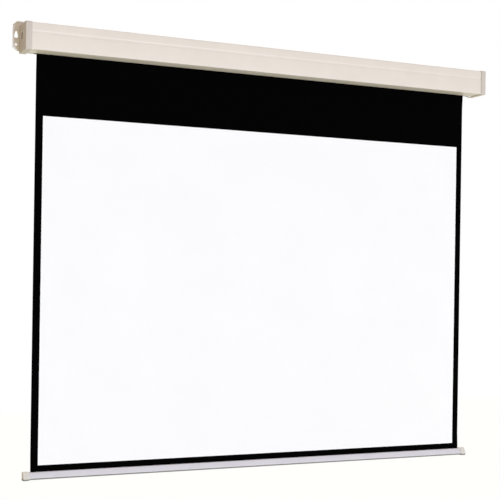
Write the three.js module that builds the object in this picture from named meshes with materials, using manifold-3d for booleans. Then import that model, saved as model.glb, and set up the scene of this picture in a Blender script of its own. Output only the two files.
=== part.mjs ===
// Pull-down projection screen with a spring roller, hung on a wall by two end brackets.
// Millimetres, +Z up, +X along the case, the viewer on the -Y side and the wall at Y = 0.
// The origin is the middle of the case's back, on the wall. The screen is let down.

import * as THREE from 'three';
import * as BufferGeometryUtils from 'three/addons/utils/BufferGeometryUtils.js';
import Module from 'manifold-3d';

const wasm = await Module();
wasm.setup();

// Fits and cuts
const FIT = 0.3;
const OVERRUN = 1;
const ROUND_SIDES = 32;
const SMALL_SIDES = 16;
const CORNER_STEPS = 4;

// Case shell
const CASE_DEPTH = 88;
const CASE_HEIGHT = 84;
const CASE_WALL = 1.5;
const CASE_TOP_RADIUS = 4;
const CASE_LOW_RADIUS = 1;
const CASE_REAR_RADIUS = 1;
const SLOT_WIDTH = 27;
const LIP_RISE = 6;
const REAR_WALL_RISE = 2;
const GROOVE_DROP = 29.7;
const GROOVE_FLOOR = 4.9;
const GROOVE_FLANK = 2.5;
const GROOVE_DEPTH = 0.45;

// Screws that hold the brackets to the case, and their ports in the case
const SCREW_RADIUS = 1.6;
const SCREW_LENGTH = 16;
const SCREW_HEAD_RADIUS = 3.6;
const SCREW_HEAD_HEIGHT = 2.4;
const PORT_WALL = 2.2;
const PORT_INSET = 4.6;

// Wall brackets
const PLATE = 2;
const PLATE_INSET = 3;
const FLANGE_REACH = 38.2;
const FLANGE_LOW_RISE = 6.5;
const FLANGE_TOP_RISE = 15.5;
const FLANGE_CHAMFER_WIDTH = 13.4;
const FLANGE_CHAMFER_HEIGHT = 11;
const KEYHOLE_RADIUS = 6.2;
const KEYHOLE_NECK_RADIUS = 2.9;
const KEYHOLE_NECK_RISE = 12.6;
const KEYHOLE_Z = 11.2;
const ROUND_HOLE_RADIUS = 3.6;
const ROUND_HOLE_Z = -15.3;
const HOLE_EDGE_DISTANCE = 10.7;

// Case end caps
const CAP_WIDTH = 20;
const CAP_OVERLAP = 2;
const CAP_WALL = 1.5;
const CAP_SIDE_WALL = 2;
const WINDOW_RADIUS = 10.5;
const PEG_RADIUS = 3;
const PEG_PASS = 1;
const PEG_INSET = 14;

// Cloth and picture
const CLOTH_WIDTH = 1600;
const CLOTH_THICK = 0.3;
const FACE_THICK = 0.15;
const CLOTH_Y = -18.4;
const TOP_BAND = 191.5;
const PICTURE_HEIGHT = 1094;
const LOW_BORDER = 20;
const SIDE_BORDER = 24;

// Roller, longer than the cloth is wide, and its room at each end of the case
const TUBE_MARGIN = 12;
const ROLLER_END_GAP = 11.8;
const TUBE_RADIUS = 20.5;
const TUBE_WALL = 1.2;
const TURNS_THICK = 0.5;
const AXIS_Z = 6;

// Ratchet plug, its chamber and its cover
const PLUG_LENGTH = 30;
const PLUG_FLANGE = 8;
const CHAMBER_DEPTH = 10;
const CHAMBER_RADIUS = 16.5;
const WEB = 6;
const COVER_THICK = 1.2;
const COVER_BORE = 7.5;

// Spindle, spring and what they turn in
const SPINDLE_RADIUS = 4;
const BLADE_WIDTH = 12;
const BLADE_THICK = 4;
const BLADE_LENGTH = 26;
const SPINDLE_TAIL = 7.1;
const SPRING_GAP = 2.5;
const SPRING_WIRE = 4.5;
const SPRING_LENGTH = 620;
const ANCHOR_LENGTH = 14;
const ANCHOR_WALL = 7;
const GUIDE_LENGTH = 14;

// Ratchet wheel and pawls
const WHEEL_RADIUS = 8;
const WHEEL_NOTCHES = 2;
const PAWL_PIVOT_RADIUS = 12.6;
const PAWL_LENGTH = 8;
const PAWL_HUB_RADIUS = 2.8;
const PAWL_TIP_HALF = 1.2;
const PAWL_FREE_ANGLE = 38;
const PAWL_SWING = 19;
const SWING_STEPS = 4;
const PIN_RADIUS = 1.3;
const PIN_SEAT = 3;
const CHAMBER_SIDE_GAP = 1;

// Idler plug, pivot pin and bush
const IDLER_FLANGE = 3;
const PIVOT_RADIUS = 5;
const PIVOT_SEAT = 26;
const PIVOT_PASS = 6;
const BUSH_WALL = 2.2;
const BUSH_FLANGE_WALL = 2.6;
const BUSH_FLANGE = 2;
const BUSH_PASS = 2;

// Bottom bar, longer than the cloth is wide, with its hem and caps
const BAR_MARGIN = 24.8;
const BAR_BACK_GAP = 6.4;
const BAR_TOP_DEPTH = 13;
const BAR_LOW_DEPTH = 26;
const BAR_HEIGHT = 22.3;
const BAR_TOP_RADIUS = 1.5;
const BAR_EDGE_RADIUS = 0.8;
const BAR_BACK_RADIUS = 2;
const BAR_WALL = 1.6;
const BAR_NOTCH_RISE = 4.8;
const BAR_NOTCH_DEPTH = 3;
const HEM_ROD_RADIUS = 2.2;
const HEM_THICK = 0.45;
const HEM_DEPTH = 6.5;
const HOLLOW_TOP_DROP = 12.4;
const BAR_CAP_WIDTH = 20;
const BAR_CAP_WALL = 1.2;
const BAR_CAP_END = 2;
const BAR_CAP_FOOT = 0.6;
const BAR_CAP_TAPER = 12;

// Places that follow from the sizes above
const CLOTH_HALF = CLOTH_WIDTH / 2;
const TUBE_HALF = CLOTH_HALF + TUBE_MARGIN;
const CASE_HALF = TUBE_HALF + PLUG_FLANGE + COVER_THICK + ROLLER_END_GAP;
const BAR_HALF = CLOTH_HALF + BAR_MARGIN;
const CASE_TOP = CASE_HEIGHT / 2;
const CASE_LOW = -CASE_HEIGHT / 2;
const LIP_Y = -SLOT_WIDTH;
const CLOTH_FRONT = CLOTH_Y - CLOTH_THICK / 2;
const CLOTH_BACK = CLOTH_Y + CLOTH_THICK / 2;
const CLOTH_LOW = CASE_LOW - TOP_BAND - PICTURE_HEIGHT - LOW_BORDER;
const TURNS_RADIUS = TUBE_RADIUS + FIT + TURNS_THICK;
const AXIS_Y = CLOTH_FRONT - FIT - TURNS_RADIUS;
const TUBE_BORE = TUBE_RADIUS - TUBE_WALL;
const PLUG_RADIUS = TUBE_BORE - FIT;
const PLATE_INNER = CASE_HALF + FIT;
const PLATE_OUTER = PLATE_INNER + PLATE;
const CAP_INNER = CASE_HALF - CAP_OVERLAP;
const CAP_OUTER = CAP_INNER + CAP_WIDTH;
const PORT_RADIUS = SCREW_RADIUS + FIT + PORT_WALL;
const CHAMBER_FLOOR = TUBE_HALF + PLUG_FLANGE - CHAMBER_DEPTH;
const BAR_TOP = CLOTH_LOW - FIT;
const BAR_BACK = CLOTH_Y + BAR_BACK_GAP;

// Screw ports sit in three inner corners of the case, pegs above and below the spindle
const PORTS = [
  [-CASE_DEPTH + CASE_WALL + PORT_INSET, CASE_TOP - CASE_WALL - PORT_INSET],
  [-CASE_WALL - PORT_INSET, CASE_TOP - CASE_WALL - PORT_INSET],
  [-CASE_DEPTH + CASE_WALL + PORT_INSET, CASE_LOW + CASE_WALL + PORT_INSET],
];
const PEGS = [
  [AXIS_Y, CASE_TOP - PEG_INSET],
  [AXIS_Y, CASE_LOW + PEG_INSET],
];

// Turns a geometry drawn in its own plane so that it stands along one of the part's axes
const X = new THREE.Vector3(1, 0, 0);
const Y = new THREE.Vector3(0, 1, 0);
const Z = new THREE.Vector3(0, 0, 1);
const DRAWN_YZ = new THREE.Matrix4().makeBasis(Y, Z, X);
const DRAWN_XZ = new THREE.Matrix4().makeBasis(X, Z, Y.clone().negate());
const TURNED_X = new THREE.Matrix4().makeBasis(Y, X, Z.clone().negate());

// A closed geometry as a solid that can be joined and cut
function toSolid(geometry) {
  const bare = geometry.clone();
  bare.deleteAttribute('normal');
  bare.deleteAttribute('uv');
  const merged = BufferGeometryUtils.mergeVertices(bare);
  return new wasm.Manifold(new wasm.Mesh({
    numProp: 3,
    vertProperties: new Float32Array(merged.attributes.position.array),
    triVerts: new Uint32Array(merged.index.array),
  }));
}

function toGeometry(solid) {
  const mesh = solid.getMesh();
  const geometry = new THREE.BufferGeometry();
  geometry.setAttribute('position', new THREE.BufferAttribute(new Float32Array(mesh.vertProperties), 3));
  geometry.setIndex(new THREE.BufferAttribute(new Uint32Array(mesh.triVerts), 1));
  geometry.computeVertexNormals();
  return geometry;
}

// A box between two corners, whichever way round they are given
function block([x0, x1], [y0, y1], [z0, z1]) {
  const geometry = new THREE.BoxGeometry(Math.abs(x1 - x0), Math.abs(y1 - y0), Math.abs(z1 - z0));
  geometry.translate((x0 + x1) / 2, (y0 + y1) / 2, (z0 + z1) / 2);
  return toSolid(geometry);
}

// A prism along X of a shape drawn in the YZ plane
function prism(shape, [x0, x1]) {
  const geometry = new THREE.ExtrudeGeometry(shape, {
    depth: Math.abs(x1 - x0), bevelEnabled: false, curveSegments: CORNER_STEPS,
  });
  geometry.applyMatrix4(DRAWN_YZ);
  geometry.translate(Math.min(x0, x1), 0, 0);
  return toSolid(geometry);
}

// A body turned about a line along X through (y, z). The profile's points are [x, radius].
function turned(profile, y, z, sides = ROUND_SIDES) {
  const area = profile.reduce((sum, [x, r], i) => {
    const [nextX, nextR] = profile[(i + 1) % profile.length];
    return sum + r * nextX - nextR * x;
  }, 0);
  const ordered = area > 0 ? [...profile] : [...profile].reverse();
  if (ordered.every(([, r]) => r > 0)) {
    ordered.push(ordered[0]);
  } else {
    while (ordered[0][1] > 0 || ordered[ordered.length - 1][1] > 0) ordered.push(ordered.shift());
  }
  const points = ordered.map(([x, r]) => new THREE.Vector2(r, x));
  const geometry = new THREE.LatheGeometry(points, sides);
  geometry.applyMatrix4(TURNED_X);
  geometry.translate(0, y, z);
  return toSolid(geometry);
}

function rod([x0, x1], radius, y, z, sides = ROUND_SIDES) {
  return turned([[x0, 0], [x0, radius], [x1, radius], [x1, 0]], y, z, sides);
}

function ring([x0, x1], outer, inner, y, z, sides = ROUND_SIDES) {
  return turned([[x0, inner], [x0, outer], [x1, outer], [x1, inner]], y, z, sides);
}

// A closed outline through corners [u, v, radius], each corner rounded by its radius
function roundedShape(corners) {
  const shape = new THREE.Shape();
  corners.forEach(([u, v, radius], i) => {
    const [beforeU, beforeV] = corners[(i + corners.length - 1) % corners.length];
    const [afterU, afterV] = corners[(i + 1) % corners.length];
    const corner = new THREE.Vector2(u, v);
    const arrive = new THREE.Vector2(beforeU, beforeV).sub(corner).setLength(radius).add(corner);
    const leave = new THREE.Vector2(afterU, afterV).sub(corner).setLength(radius).add(corner);
    if (i === 0) shape.moveTo(arrive.x, arrive.y);
    else shape.lineTo(arrive.x, arrive.y);
    if (radius > 0) shape.quadraticCurveTo(corner.x, corner.y, leave.x, leave.y);
  });
  shape.closePath();
  return shape;
}

// The case's outline in YZ, grown outwards or inwards by a distance, up to a given rear face
function caseOutline(grow, rear) {
  const front = -CASE_DEPTH - grow;
  const top = CASE_TOP + grow;
  const low = CASE_LOW - grow;
  return roundedShape([
    [rear, top, CASE_REAR_RADIUS],
    [front, top, CASE_TOP_RADIUS + grow],
    [front, low, Math.max(0, CASE_LOW_RADIUS + grow)],
    [rear, low, CASE_REAR_RADIUS],
  ]);
}

// A shallow groove along the case's front, with a flat floor between two sloping flanks
function frontGroove() {
  const middle = CASE_TOP - GROOVE_DROP;
  const floorHalf = GROOVE_FLOOR / 2;
  const mouthHalf = floorHalf + GROOVE_FLANK;
  const groove = roundedShape([
    [-CASE_DEPTH + GROOVE_DEPTH, middle + floorHalf, 0],
    [-CASE_DEPTH, middle + mouthHalf, 0],
    [-CASE_DEPTH - OVERRUN, middle + mouthHalf, 0],
    [-CASE_DEPTH - OVERRUN, middle - mouthHalf, 0],
    [-CASE_DEPTH, middle - mouthHalf, 0],
    [-CASE_DEPTH + GROOVE_DEPTH, middle - floorHalf, 0],
  ]);
  return prism(groove, [-CASE_HALF - OVERRUN, CASE_HALF + OVERRUN]);
}

function caseShell() {
  const span = [-CASE_HALF, CASE_HALF];
  const cut = [-CASE_HALF - OVERRUN, CASE_HALF + OVERRUN];
  let shell = prism(caseOutline(0, 0), span).subtract(prism(caseOutline(-CASE_WALL, -CASE_WALL), cut));
  const slot = block(cut, [LIP_Y, OVERRUN], [CASE_LOW - OVERRUN, CASE_LOW + REAR_WALL_RISE]);
  shell = shell.subtract(slot);
  shell = shell.add(block(span, [LIP_Y - CASE_WALL, LIP_Y], [CASE_LOW, CASE_LOW + LIP_RISE]));
  for (const [y, z] of PORTS) {
    const outward = Math.sign(y + CASE_DEPTH / 2);
    const upward = Math.sign(z);
    const wallY = y + outward * (PORT_INSET + CASE_WALL / 2);
    const wallZ = z + upward * (PORT_INSET + CASE_WALL / 2);
    shell = shell.add(rod(span, PORT_RADIUS, y, z, SMALL_SIDES));
    shell = shell.add(block(span, [y, wallY], [z - PORT_WALL / 2, z + PORT_WALL / 2]));
    shell = shell.add(block(span, [y - PORT_WALL / 2, y + PORT_WALL / 2], [z, wallZ]));
  }
  for (const [y, z] of PORTS) shell = shell.subtract(rod(cut, SCREW_RADIUS + FIT, y, z, SMALL_SIDES));
  return shell.subtract(frontGroove());
}

// The keyhole: a round mouth with a neck that narrows upwards
function keyholePath(x, z) {
  const path = new THREE.Path();
  const neckZ = z + KEYHOLE_NECK_RISE;
  const lean = Math.asin((KEYHOLE_RADIUS - KEYHOLE_NECK_RADIUS) / KEYHOLE_NECK_RISE);
  path.absarc(x, neckZ, KEYHOLE_NECK_RADIUS, lean, Math.PI - lean, false);
  path.absarc(x, z, KEYHOLE_RADIUS, Math.PI - lean, 2 * Math.PI + lean, false);
  path.closePath();
  return path;
}

// The flange on the wall, drawn in XZ, with its keyhole and round hole
function flange(side) {
  const inner = side * PLATE_INNER;
  const outer = side * (PLATE_INNER + FLANGE_REACH);
  const chamfer = side * (PLATE_INNER + FLANGE_REACH - FLANGE_CHAMFER_WIDTH);
  const top = CASE_TOP + FLANGE_TOP_RISE;
  const low = CASE_LOW + FLANGE_LOW_RISE;
  const holeX = side * (PLATE_INNER + FLANGE_REACH - HOLE_EDGE_DISTANCE);
  const shape = new THREE.Shape();
  shape.moveTo(inner, low);
  shape.lineTo(chamfer, low);
  shape.lineTo(outer, low + FLANGE_CHAMFER_HEIGHT);
  shape.lineTo(outer, top - FLANGE_CHAMFER_HEIGHT);
  shape.lineTo(chamfer, top);
  shape.lineTo(inner, top);
  shape.closePath();
  shape.holes.push(keyholePath(holeX, KEYHOLE_Z));
  const roundHole = new THREE.Path();
  roundHole.absarc(holeX, ROUND_HOLE_Z, ROUND_HOLE_RADIUS, 0, 2 * Math.PI, false);
  shape.holes.push(roundHole);
  const geometry = new THREE.ExtrudeGeometry(shape, {
    depth: PLATE, bevelEnabled: false, curveSegments: SMALL_SIDES,
  });
  geometry.applyMatrix4(DRAWN_XZ);
  return toSolid(geometry);
}

// A wall bracket: the flange, and a side plate that closes the case's end and carries the roller
function bracket(side) {
  const span = [side * PLATE_INNER, side * PLATE_OUTER];
  const cut = [side * (PLATE_INNER - OVERRUN), side * (PLATE_OUTER + OVERRUN)];
  const low = CASE_LOW + PLATE_INSET;
  const top = CASE_TOP - PLATE_INSET;
  let plate = block(span, [-CASE_DEPTH + PLATE_INSET, 0], [low, top]).add(flange(side));
  for (const [y, z] of PORTS) plate = plate.subtract(rod(cut, SCREW_RADIUS + FIT, y, z, SMALL_SIDES));
  for (const [y, z] of PEGS) plate = plate.subtract(rod(cut, PEG_RADIUS + FIT, y, z, SMALL_SIDES));
  return plate;
}

function leftBracket() {
  const halfWidth = BLADE_WIDTH / 2 + FIT;
  const halfThick = BLADE_THICK / 2 + FIT;
  const cut = [-PLATE_INNER + OVERRUN, -PLATE_OUTER - OVERRUN];
  const slot = block(cut, [AXIS_Y - halfThick, AXIS_Y + halfThick], [AXIS_Z - halfWidth, AXIS_Z + halfWidth]);
  return bracket(-1).subtract(slot);
}

function rightBracket() {
  const cut = [PLATE_INNER - OVERRUN, PLATE_OUTER + OVERRUN];
  return bracket(1).subtract(rod(cut, PIVOT_RADIUS + BUSH_WALL + 2 * FIT, AXIS_Y, AXIS_Z));
}

// A pan-head screw through the side plate into a port of the case
function bracketScrew(side, [y, z]) {
  const seat = side * PLATE_OUTER;
  const headFace = seat + side * SCREW_HEAD_HEIGHT;
  const tip = seat - side * SCREW_LENGTH;
  return turned([
    [headFace, 0], [headFace, SCREW_HEAD_RADIUS],
    [seat, SCREW_HEAD_RADIUS], [seat, SCREW_RADIUS],
    [tip, SCREW_RADIUS], [tip, 0],
  ], y, z, SMALL_SIDES);
}

// A moulded cover over the bracket's side plate, open to the case and to the wall
function endCap(side) {
  const rear = -PLATE - FIT;
  const span = [side * CAP_INNER, side * CAP_OUTER];
  const inside = [side * (CAP_INNER - OVERRUN), side * (CAP_OUTER - CAP_SIDE_WALL)];
  const sideCut = [side * (CAP_OUTER - CAP_SIDE_WALL - OVERRUN), side * (CAP_OUTER + OVERRUN)];
  const outer = prism(caseOutline(FIT + CAP_WALL, rear), span);
  const inner = prism(caseOutline(FIT, rear + OVERRUN + CASE_REAR_RADIUS), inside);
  let cap = outer.subtract(inner).subtract(rod(sideCut, WINDOW_RADIUS, AXIS_Y, AXIS_Z));
  const pegSpan = [side * (PLATE_INNER - PEG_PASS), side * (CAP_OUTER - CAP_SIDE_WALL / 2)];
  for (const [y, z] of PEGS) cap = cap.add(rod(pegSpan, PEG_RADIUS, y, z, SMALL_SIDES));
  return cap;
}

function screenCloth() {
  return block([-CLOTH_HALF, CLOTH_HALF], [CLOTH_FRONT, CLOTH_BACK], [CLOTH_LOW, AXIS_Z]);
}

function pictureFace() {
  const half = CLOTH_HALF - SIDE_BORDER;
  const top = CASE_LOW - TOP_BAND;
  return block([-half, half], [CLOTH_FRONT - FACE_THICK, CLOTH_FRONT], [top - PICTURE_HEIGHT, top]);
}

function rollerTube() {
  return ring([-TUBE_HALF, TUBE_HALF], TUBE_RADIUS, TUBE_BORE, AXIS_Y, AXIS_Z);
}

function clothTurns() {
  return ring([-CLOTH_HALF, CLOTH_HALF], TURNS_RADIUS, TUBE_RADIUS + FIT, AXIS_Y, AXIS_Z);
}

// The two pawl pivots lie above and below the roller's axis, with the screen let down
function pawlPivot(index) {
  const upward = index === 0 ? 1 : -1;
  return [AXIS_Y, AXIS_Z + upward * PAWL_PIVOT_RADIUS];
}

function ratchetPlug() {
  const face = -(TUBE_HALF + PLUG_FLANGE);
  const floor = -CHAMBER_FLOOR;
  const inner = -(TUBE_HALF - PLUG_LENGTH);
  const springRadius = SPINDLE_RADIUS + SPRING_GAP + SPRING_WIRE + FIT;
  let plug = turned([
    [face, CHAMBER_RADIUS], [face, TUBE_RADIUS],
    [-TUBE_HALF, TUBE_RADIUS], [-TUBE_HALF, PLUG_RADIUS],
    [inner, PLUG_RADIUS], [inner, springRadius],
    [floor + WEB, springRadius], [floor + WEB, SPINDLE_RADIUS + FIT],
    [floor, SPINDLE_RADIUS + FIT], [floor, CHAMBER_RADIUS],
  ], AXIS_Y, AXIS_Z);
  for (const index of [0, 1]) {
    const seat = [floor - OVERRUN, floor + PIN_SEAT];
    plug = plug.subtract(rod(seat, PIN_RADIUS + FIT, ...pawlPivot(index), SMALL_SIDES));
  }
  return plug;
}

function ratchetCover() {
  const face = -(TUBE_HALF + PLUG_FLANGE);
  return ring([face - COVER_THICK, face], TUBE_RADIUS, COVER_BORE, AXIS_Y, AXIS_Z);
}

function pawlPin(index) {
  const span = [-CHAMBER_FLOOR + PIN_SEAT - FIT, -(TUBE_HALF + PLUG_FLANGE) + FIT];
  return rod(span, PIN_RADIUS, ...pawlPivot(index), SMALL_SIDES);
}

// One pawl without its bore: a hub on the pin and a lever, swung by an angle from its free place
function pawlBlank(index, swing, grow, span) {
  const [y, z] = pawlPivot(index);
  const angle = Math.PI * (1 + index) + THREE.MathUtils.degToRad(PAWL_FREE_ANGLE + swing);
  const along = new THREE.Vector2(Math.cos(angle), Math.sin(angle));
  const across = new THREE.Vector2(-along.y, along.x);
  const corner = (forward, sideways) => [
    y + along.x * forward + across.x * sideways,
    z + along.y * forward + across.y * sideways,
  ];
  const rootHalf = PAWL_HUB_RADIUS - PAWL_TIP_HALF + grow;
  const tipHalf = PAWL_TIP_HALF + grow;
  const corners = [
    corner(0, -rootHalf), corner(PAWL_LENGTH + grow, -tipHalf),
    corner(PAWL_LENGTH + grow, tipHalf), corner(0, rootHalf),
  ];
  const lever = prism(roundedShape(corners.map(([u, v]) => [u, v, 0])), span);
  return lever.add(rod(span, PAWL_HUB_RADIUS + grow, y, z, SMALL_SIDES));
}

function chamberSpan(gap) {
  return [-CHAMBER_FLOOR - gap, -(TUBE_HALF + PLUG_FLANGE) + gap];
}

function pawl(index) {
  const bore = rod(chamberSpan(-OVERRUN), PIN_RADIUS + FIT, ...pawlPivot(index), SMALL_SIDES);
  return pawlBlank(index, 0, 0, chamberSpan(CHAMBER_SIDE_GAP)).subtract(bore);
}

// The wheel's notches leave room for a pawl all the way into its locked place
function ratchetWheel() {
  let wheel = ring(chamberSpan(CHAMBER_SIDE_GAP), WHEEL_RADIUS, SPINDLE_RADIUS + FIT, AXIS_Y, AXIS_Z);
  for (let notch = 0; notch < WHEEL_NOTCHES; notch += 1) {
    for (let step = 1; step <= SWING_STEPS; step += 1) {
      const swing = PAWL_SWING * step / SWING_STEPS;
      wheel = wheel.subtract(pawlBlank(notch, swing, FIT, chamberSpan(0)));
    }
  }
  return wheel;
}

// Along the spindle lie the spring, its anchor and the guide that centres the spindle in the tube
function springSpan() {
  const start = -CHAMBER_FLOOR + WEB + FIT;
  return [start, start + SPRING_LENGTH];
}

function anchorSpan() {
  const start = springSpan()[1] + FIT;
  return [start, start + ANCHOR_LENGTH];
}

function guideSpan() {
  const start = anchorSpan()[1] + FIT;
  return [start, start + GUIDE_LENGTH];
}

// The fixed rod inside the spring. Its blade passes the left bracket and shows in the cap's window.
function springSpindle() {
  const bladeOuter = -(CAP_OUTER - CAP_SIDE_WALL / 2);
  const bladeInner = bladeOuter + BLADE_LENGTH;
  const blade = block(
    [bladeOuter, bladeInner],
    [AXIS_Y - BLADE_THICK / 2, AXIS_Y + BLADE_THICK / 2],
    [AXIS_Z - BLADE_WIDTH / 2, AXIS_Z + BLADE_WIDTH / 2],
  );
  const coreEnd = guideSpan()[1] + SPINDLE_TAIL;
  const core = rod([bladeInner - BLADE_THICK, coreEnd], SPINDLE_RADIUS, AXIS_Y, AXIS_Z);
  return blade.add(core);
}

function torsionSpring() {
  const inner = SPINDLE_RADIUS + SPRING_GAP;
  return ring(springSpan(), inner + SPRING_WIRE, inner, AXIS_Y, AXIS_Z);
}

function springAnchor() {
  const bore = SPINDLE_RADIUS + FIT;
  return ring(anchorSpan(), bore + ANCHOR_WALL, bore, AXIS_Y, AXIS_Z);
}

function spindleGuide() {
  return ring(guideSpan(), TUBE_BORE - FIT, SPINDLE_RADIUS + FIT, AXIS_Y, AXIS_Z);
}

function idlerPlug() {
  const inner = TUBE_HALF - PLUG_LENGTH;
  const face = TUBE_HALF + IDLER_FLANGE;
  const bore = PIVOT_RADIUS + FIT;
  return turned([
    [face, bore], [face, TUBE_RADIUS],
    [TUBE_HALF, TUBE_RADIUS], [TUBE_HALF, PLUG_RADIUS],
    [inner, PLUG_RADIUS], [inner, bore],
  ], AXIS_Y, AXIS_Z);
}

function pivotPin() {
  return rod([TUBE_HALF - PIVOT_SEAT, PLATE_OUTER + PIVOT_PASS], PIVOT_RADIUS, AXIS_Y, AXIS_Z);
}

// The bush sits in the right bracket, with its flange inside the case
function pivotBush() {
  const bore = PIVOT_RADIUS + FIT;
  const flangeFace = PLATE_INNER - FIT - BUSH_FLANGE;
  return turned([
    [flangeFace, bore], [flangeFace, bore + BUSH_WALL + BUSH_FLANGE_WALL],
    [PLATE_INNER - FIT, bore + BUSH_WALL + BUSH_FLANGE_WALL], [PLATE_INNER - FIT, bore + BUSH_WALL],
    [PLATE_OUTER + BUSH_PASS, bore + BUSH_WALL], [PLATE_OUTER + BUSH_PASS, bore],
  ], AXIS_Y, AXIS_Z);
}

// The front of the bar at a height, leaning forward towards the bottom, grown by a distance
function barFront(z, grow) {
  const lean = (BAR_LOW_DEPTH - BAR_TOP_DEPTH) / BAR_HEIGHT;
  return BAR_BACK - BAR_TOP_DEPTH - (BAR_TOP - z) * lean - grow * Math.hypot(1, lean);
}

// The notch under the bar's front, for an outline grown by a distance: its ceiling and its rear wall
function barNotch(grow) {
  const ceiling = BAR_TOP - BAR_HEIGHT + BAR_NOTCH_RISE;
  return [ceiling - grow, barFront(ceiling, 0) + BAR_NOTCH_DEPTH - grow];
}

// The bar's outline in YZ: a flat back, the leaning front, and the notch under it
function barOutline(grow, foot) {
  const top = BAR_TOP + grow;
  const low = BAR_TOP - BAR_HEIGHT - grow - foot;
  const back = BAR_BACK + grow;
  const [ceiling, notchRear] = barNotch(grow);
  return roundedShape([
    [back, top, BAR_TOP_RADIUS],
    [barFront(top, grow), top, BAR_TOP_RADIUS],
    [barFront(ceiling, grow), ceiling, BAR_EDGE_RADIUS],
    [notchRear, ceiling, 0],
    [notchRear, low, BAR_EDGE_RADIUS],
    [back, low, BAR_BACK_RADIUS],
  ]);
}

// The bar, with the channel that holds the hem and the hollow below it
function bottomBar() {
  const end = BAR_HALF - BAR_CAP_END - FIT;
  const cut = [-end - OVERRUN, end + OVERRUN];
  const hemZ = BAR_TOP - HEM_DEPTH;
  const channelRadius = HEM_ROD_RADIUS + FIT + HEM_THICK + FIT;
  const neckHalf = HEM_THICK + FIT;
  const hollowTop = BAR_TOP - HOLLOW_TOP_DROP;
  const hollowLow = BAR_TOP - BAR_HEIGHT + BAR_WALL;
  const [step, stepRear] = barNotch(-BAR_WALL);
  const hollow = roundedShape([
    [BAR_BACK - BAR_WALL, hollowTop, BAR_TOP_RADIUS],
    [barFront(hollowTop, -BAR_WALL), hollowTop, BAR_TOP_RADIUS],
    [barFront(step, -BAR_WALL), step, 0],
    [stepRear, step, 0],
    [stepRear, hollowLow, 0],
    [BAR_BACK - BAR_WALL, hollowLow, BAR_TOP_RADIUS],
  ]);
  return prism(barOutline(0, 0), [-end, end])
    .subtract(rod(cut, channelRadius, CLOTH_Y, hemZ, SMALL_SIDES))
    .subtract(block(cut, [CLOTH_Y - neckHalf, CLOTH_Y + neckHalf], [hemZ, BAR_TOP + OVERRUN]))
    .subtract(prism(hollow, cut));
}

function hemRod() {
  return rod([-CLOTH_HALF, CLOTH_HALF], HEM_ROD_RADIUS, CLOTH_Y, BAR_TOP - HEM_DEPTH, SMALL_SIDES);
}

// The cloth's hem: two layers of cloth in the bar's neck, and a sleeve round the rod
function clothHem() {
  const span = [-CLOTH_HALF, CLOTH_HALF];
  const cut = [-CLOTH_HALF - OVERRUN, CLOTH_HALF + OVERRUN];
  const hemZ = BAR_TOP - HEM_DEPTH;
  const bore = HEM_ROD_RADIUS + FIT;
  return rod(span, bore + HEM_THICK, CLOTH_Y, hemZ, SMALL_SIDES)
    .add(block(span, [CLOTH_Y - HEM_THICK, CLOTH_Y + HEM_THICK], [hemZ, BAR_TOP]))
    .subtract(rod(cut, bore, CLOTH_Y, hemZ, SMALL_SIDES));
}

// A moulded cap over the bar's end. Its foot reaches lower than the bar and tapers off inwards.
function barCap(side) {
  const inner = side * (BAR_HALF - BAR_CAP_WIDTH);
  const outer = side * BAR_HALF;
  const inside = [inner - side * OVERRUN, outer - side * BAR_CAP_END];
  const low = BAR_TOP - BAR_HEIGHT - FIT - BAR_CAP_WALL;
  const taper = new THREE.Shape();
  taper.moveTo(inner - side * OVERRUN, low);
  taper.lineTo(inner, low);
  taper.lineTo(inner + side * BAR_CAP_TAPER, low - BAR_CAP_FOOT);
  taper.lineTo(inner + side * BAR_CAP_TAPER, low - BAR_CAP_FOOT - OVERRUN);
  taper.lineTo(inner - side * OVERRUN, low - BAR_CAP_FOOT - OVERRUN);
  taper.closePath();
  const depth = BAR_LOW_DEPTH + 2 * BAR_BACK_GAP;
  const taperGeometry = new THREE.ExtrudeGeometry(taper, { depth, bevelEnabled: false });
  taperGeometry.applyMatrix4(DRAWN_XZ);
  taperGeometry.translate(0, BAR_BACK + BAR_BACK_GAP, 0);
  return prism(barOutline(FIT + BAR_CAP_WALL, BAR_CAP_FOOT), [inner, outer])
    .subtract(prism(barOutline(FIT, 0), inside))
    .subtract(toSolid(taperGeometry));
}

// Finishes, as seen in the photo or usual for the piece
const CREAM_PAINT = { color: 0xe9e2dc, roughness: 0.45, metalness: 0.0 };
const CAP_PLASTIC = { color: 0xcbc7c4, roughness: 0.5, metalness: 0.0 };
const BRACKET_STEEL = { color: 0xb9b2a2, roughness: 0.45, metalness: 0.3 };
const BLACK_CLOTH = { color: 0x0b0b0c, roughness: 0.9, metalness: 0.0 };
const WHITE_FACE = { color: 0xf6f6f5, roughness: 0.85, metalness: 0.0 };
const WHITE_PAINT = { color: 0xdcdbe2, roughness: 0.35, metalness: 0.0 };
const WARM_PLASTIC = { color: 0xe1d5c8, roughness: 0.5, metalness: 0.0 };
const ALUMINIUM = { color: 0xb6b8ba, roughness: 0.35, metalness: 0.9 };
const STEEL = { color: 0x8d8f92, roughness: 0.35, metalness: 0.9 };
const NYLON = { color: 0x2b2c2e, roughness: 0.6, metalness: 0.0 };

const screen = new THREE.Group();

function addPiece(name, solid, finish) {
  const mesh = new THREE.Mesh(toGeometry(solid), new THREE.MeshStandardMaterial(finish));
  mesh.name = name;
  screen.add(mesh);
}

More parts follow.
